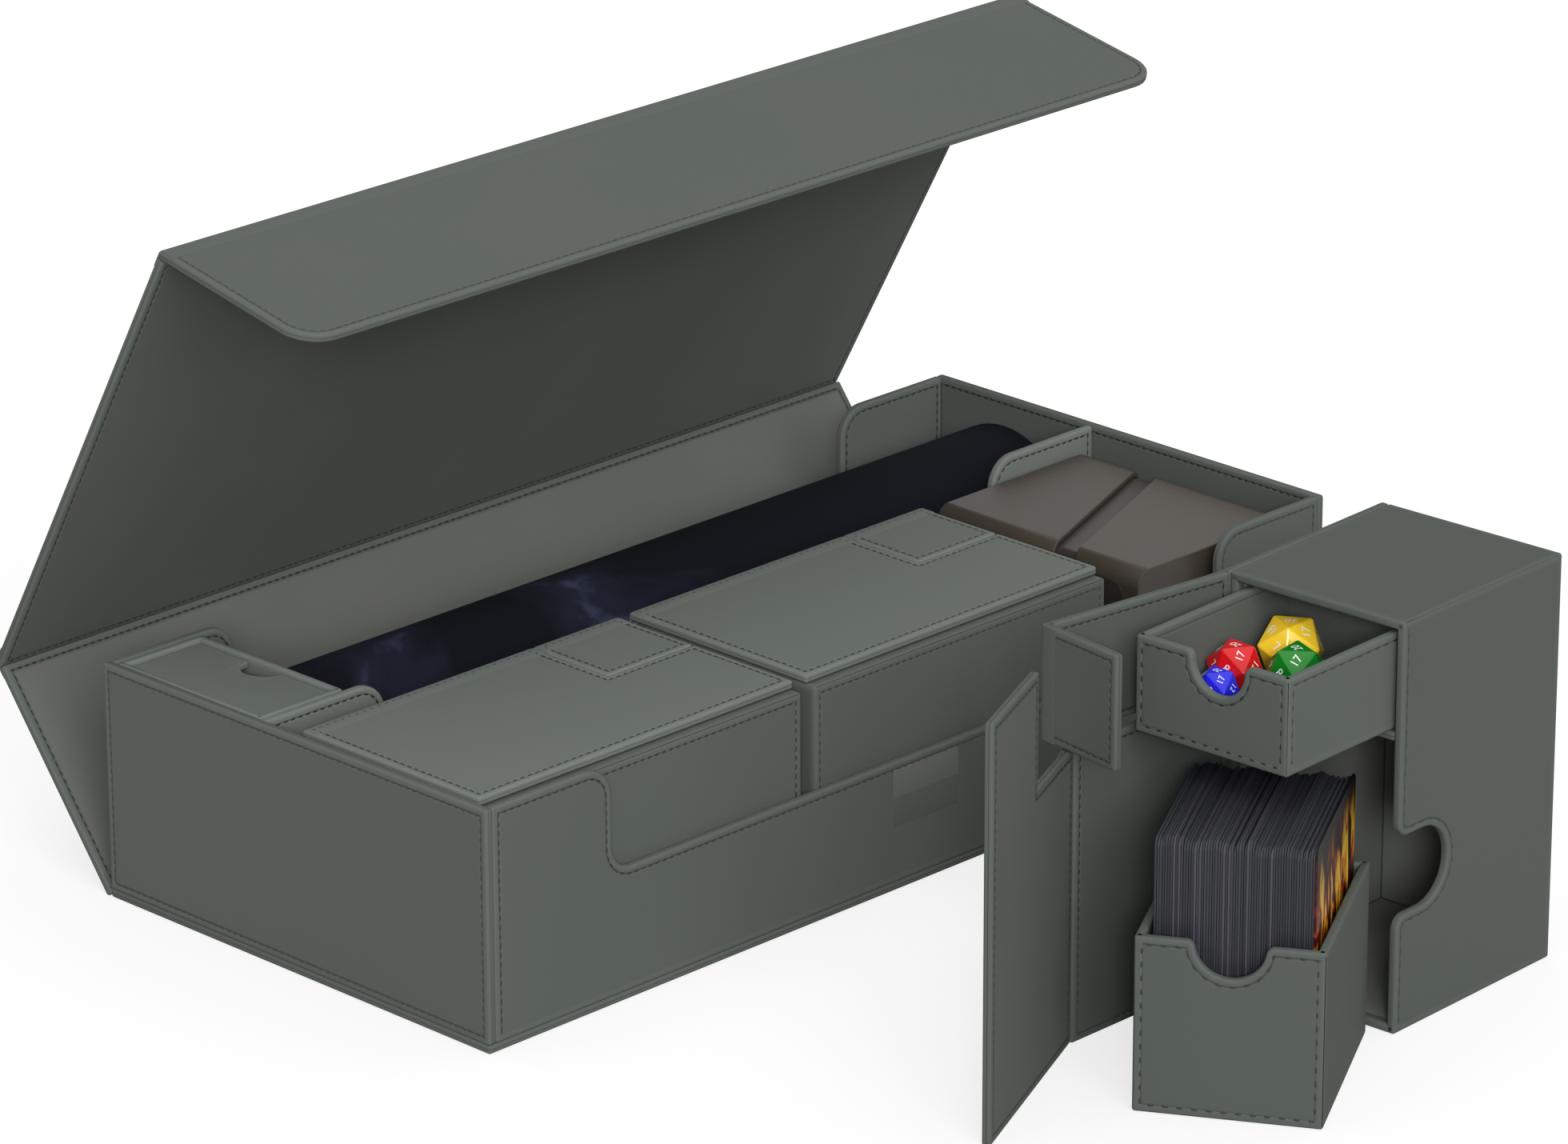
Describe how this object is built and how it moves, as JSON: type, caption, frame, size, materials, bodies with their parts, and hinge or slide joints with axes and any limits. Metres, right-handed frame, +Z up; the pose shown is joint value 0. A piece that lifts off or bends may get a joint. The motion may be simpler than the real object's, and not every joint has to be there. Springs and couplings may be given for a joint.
{
  "type": "card storage box",
  "caption": "Long wrapped card storage box with a folding magnetic cover, deck cases with doors and drawers, a translucent deck box, a playmat roll and an accessory tray.",
  "frame": {"origin": "centre of the box's underside, on the table", "axes": "+X along the box to its right end, +Y to the back where the cover folds, +Z up"},
  "size_m": [0.4, 0.464, 0.2338],
  "materials": {
    "leatherette_board": "satin",
    "dark_microfibre": "matte",
    "light_microfibre": "matte",
    "magnet": "satin",
    "playmat": "matte",
    "smoke_plastic": "gloss",
    "sleeved_cards": "matte",
    "picture_card": "satin",
    "red_die": "gloss",
    "blue_die": "gloss",
    "green_die": "gloss",
    "yellow_die": "gloss"
  },
  "bodies": {
    "box": {"base_cover_panel": "leatherette_board", "floor_board": "leatherette_board", "left_end_wall": "leatherette_board", "right_end_wall": "leatherette_board", "front_wall": "leatherette_board", "back_wall": "leatherette_board", "divider_wall": "leatherette_board", "front_bay_lining": "dark_microfibre", "rear_bay_lining": "dark_microfibre", "label_patch": "light_microfibre", "closing_patch": "dark_microfibre", "wall_magnets": "magnet"},
    "cover_back": {"cover_back_panel": "leatherette_board", "cover_back_lining": "light_microfibre"},
    "cover_lid": {"cover_lid_panel": "leatherette_board", "cover_lid_lining": "dark_microfibre"},
    "cover_flap": {"cover_flap_panel": "leatherette_board", "cover_flap_lining": "dark_microfibre", "flap_magnets": "magnet"},
    "accessory_tray": {"accessory_tray": "leatherette_board"},
    "accessory_lid": {"accessory_lid": "leatherette_board"},
    "playmat": {"playmat_roll": "playmat"},
    "deck_box": {"deckbox_base": "smoke_plastic", "deckbox_liner": "smoke_plastic", "deckbox_cards": "sleeved_cards"},
    "deckbox_lid": {"deckbox_lid": "smoke_plastic"},
    "left_case": {"left_case_shell": "leatherette_board", "left_case_shelf": "leatherette_board", "left_case_side_board": "leatherette_board", "left_case_card_tray": "leatherette_board", "left_case_dice_drawer": "leatherette_board"},
    "left_card_door": {"left_case_card_door": "leatherette_board"},
    "left_side_flap": {"left_case_side_flap": "leatherette_board"},
    "left_drawer_door": {"left_case_drawer_door": "leatherette_board"},
    "left_small_flap": {"left_case_small_flap": "leatherette_board"},
    "right_case": {"right_case_shell": "leatherette_board", "right_case_shelf": "leatherette_board", "right_case_side_board": "leatherette_board", "right_case_card_tray": "leatherette_board", "right_case_dice_drawer": "leatherette_board"},
    "right_card_door": {"right_case_card_door": "leatherette_board"},
    "right_side_flap": {"right_case_side_flap": "leatherette_board"},
    "right_drawer_door": {"right_case_drawer_door": "leatherette_board"},
    "right_small_flap": {"right_case_small_flap": "leatherette_board"},
    "open_case": {"open_case_shell": "leatherette_board", "open_case_shelf": "leatherette_board", "open_case_side_board": "leatherette_board"},
    "open_card_door": {"open_case_card_door": "leatherette_board"},
    "open_side_flap": {"open_case_side_flap": "leatherette_board"},
    "open_drawer_door": {"open_case_drawer_door": "leatherette_board"},
    "open_small_flap": {"open_case_small_flap": "leatherette_board"},
    "dice_drawer": {"dice_drawer": "leatherette_board", "red_die": "red_die", "blue_die": "blue_die", "green_die": "green_die", "yellow_die": "yellow_die"},
    "card_tray": {"card_tray": "leatherette_board"},
    "card_deck": {"card_deck": "sleeved_cards", "picture_card": "picture_card"}
  },
  "joints": [
    {"name": "cover_back_fold", "type": "hinge", "parent": "box", "child": "cover_back", "pos_m": [0, 0.09325, 0.0015], "axis": [-1, 0, 0], "range_deg": [-37.7, 52.3]},
    {"name": "cover_lid_fold", "type": "hinge", "parent": "cover_back", "child": "cover_lid", "pos_m": [0, 0.14529, 0.06883], "axis": [-1, 0, 0], "range_deg": [-23.5, 66.5]},
    {"name": "cover_flap_fold", "type": "hinge", "parent": "cover_lid", "child": "cover_flap", "pos_m": [0, 0.05544, 0.23226], "axis": [-1, 0, 0], "range_deg": [-17.6, 72.4]},
    {"name": "accessory_tray_lift", "type": "slide", "parent": "box", "child": "accessory_tray", "axis": [0, 0, 1], "range_m": [0, 0.076]},
    {"name": "accessory_lid_lift", "type": "slide", "parent": "accessory_tray", "child": "accessory_lid", "axis": [0, 0, 1], "range_m": [0, 0.02]},
    {"name": "playmat_lift", "type": "slide", "parent": "box", "child": "playmat", "axis": [0, 0, 1], "range_m": [0, 0.08]},
    {"name": "deck_box_lift", "type": "slide", "parent": "box", "child": "deck_box", "axis": [0, 0, 1], "range_m": [0, 0.08]},
    {"name": "deckbox_lid_slide", "type": "slide", "parent": "deck_box", "child": "deckbox_lid", "axis": [0, -1, 0], "range_m": [0, 0.0035]},
    {"name": "left_case_lift", "type": "slide", "parent": "box", "child": "left_case", "axis": [0, 0, 1], "range_m": [0, 0.08]},
    {"name": "left_card_door_fold", "type": "hinge", "parent": "left_case", "child": "left_card_door", "pos_m": [-0.12575, -0.00335, 0.0105], "axis": [-1, 0, 0], "range_deg": [0, 12]},
    {"name": "left_side_flap_fold", "type": "hinge", "parent": "left_card_door", "child": "left_side_flap", "pos_m": [-0.12575, -0.00335, 0.0833], "axis": [-1, 0, 0], "range_deg": [0, 100]},
    {"name": "left_drawer_door_fold", "type": "hinge", "parent": "left_case", "child": "left_drawer_door", "pos_m": [-0.12575, -0.00335, 0.0105], "axis": [-1, 0, 0], "range_deg": [0, 12]},
    {"name": "left_small_flap_fold", "type": "hinge", "parent": "left_drawer_door", "child": "left_small_flap", "pos_m": [-0.12575, -0.00335, 0.0833], "axis": [-1, 0, 0], "range_deg": [0, 100]},
    {"name": "right_case_lift", "type": "slide", "parent": "box", "child": "right_case", "axis": [0, 0, 1], "range_m": [0, 0.08]},
    {"name": "right_card_door_fold", "type": "hinge", "parent": "right_case", "child": "right_card_door", "pos_m": [0.02075, -0.00335, 0.0105], "axis": [-1, 0, 0], "range_deg": [0, 20]},
    {"name": "right_side_flap_fold", "type": "hinge", "parent": "right_card_door", "child": "right_side_flap", "pos_m": [0.02075, -0.00335, 0.0833], "axis": [-1, 0, 0], "range_deg": [0, 100]},
    {"name": "right_drawer_door_fold", "type": "hinge", "parent": "right_case", "child": "right_drawer_door", "pos_m": [0.02075, -0.00335, 0.0105], "axis": [-1, 0, 0], "range_deg": [0, 20]},
    {"name": "right_small_flap_fold", "type": "hinge", "parent": "right_drawer_door", "child": "right_small_flap", "pos_m": [0.02075, -0.00335, 0.0833], "axis": [-1, 0, 0], "range_deg": [0, 100]},
    {"name": "open_case_lift", "type": "slide", "parent": "box", "child": "open_case", "axis": [0, 0, 1], "range_m": [0, 0.05]},
    {"name": "open_card_door_fold", "type": "hinge", "parent": "open_case", "child": "open_card_door", "pos_m": [0.00598, -0.21534, 0.05], "axis": [0, 0, -1], "range_deg": [-12, 40]},
    {"name": "open_side_flap_fold", "type": "hinge", "parent": "open_card_door", "child": "open_side_flap", "pos_m": [-0.06682, -0.21598, 0.05], "axis": [0, 0, -1], "range_deg": [-30, 24.8]},
    {"name": "open_drawer_door_fold", "type": "hinge", "parent": "open_case", "child": "open_drawer_door", "pos_m": [0.00598, -0.21534, 0.12], "axis": [0, 0, -1], "range_deg": [-8, 32.5]},
    {"name": "open_small_flap_fold", "type": "hinge", "parent": "open_drawer_door", "child": "open_small_flap", "pos_m": [-0.06628, -0.20647, 0.12], "axis": [0, 0, -1], "range_deg": [0, 90]},
    {"name": "dice_drawer_slide", "type": "slide", "parent": "open_case", "child": "dice_drawer", "axis": [-0.9986, -0.0523, 0], "range_m": [-0.053, 0.018]},
    {"name": "card_tray_slide", "type": "slide", "parent": "box", "child": "card_tray", "axis": [0.8616, 0.5075, 0], "range_m": [-0.12, 0]},
    {"name": "card_deck_lift", "type": "slide", "parent": "card_tray", "child": "card_deck", "axis": [0, 0, 1], "range_m": [0, 0.01]}
  ],
  "couplings": [
    {"joint": "left_card_door_fold", "follows": "left_side_flap_fold", "ratio": 0.12},
    {"joint": "right_card_door_fold", "follows": "right_side_flap_fold", "ratio": 0.2}
  ]
}
